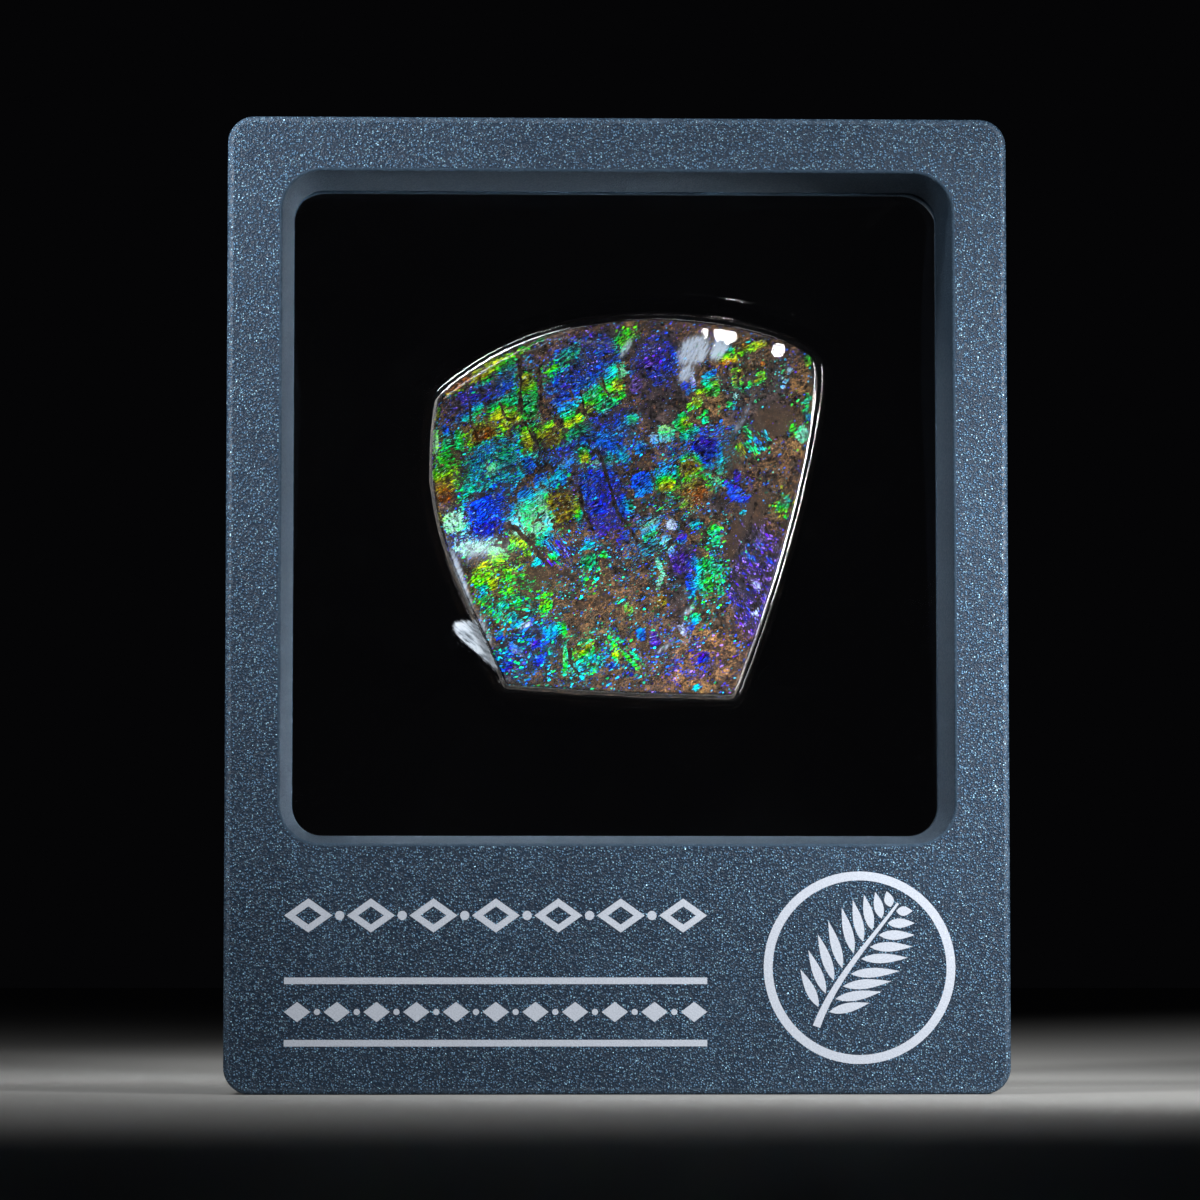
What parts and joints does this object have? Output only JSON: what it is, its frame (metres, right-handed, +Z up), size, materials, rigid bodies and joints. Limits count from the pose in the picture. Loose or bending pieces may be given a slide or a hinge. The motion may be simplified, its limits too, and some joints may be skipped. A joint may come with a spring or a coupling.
{
  "type": "framed ammolite specimen",
  "caption": "Polished ammolite fossil floating between two clear films in a small upright display frame of slate-grey plastic.",
  "frame": {"origin": "middle of the frame's foot, on the surface that it stands on, half way between its front and back faces", "axes": "+Z up along the frame's height, the front face with the label band looks along -Y, +X to the right seen from the front"},
  "size_m": [0.1016, 0.02, 0.127],
  "materials": {
    "slate_plastic": "moulded plastic in dark slate blue-grey, fine-grained, with small bright metallic flecks",
    "clear_film": "thin clear elastic film, stretched smooth and glossy",
    "ammolite_stone": "polished iridescent fossil shell in green, blue and violet on a brown matrix, rough and brown at the sides and back"
  },
  "bodies": {
    "root": {"front_frame": "slate_plastic", "back_frame": "slate_plastic", "front_film": "clear_film", "back_film": "clear_film", "ammolite": "ammolite_stone"}
  },
  "joints": []
}
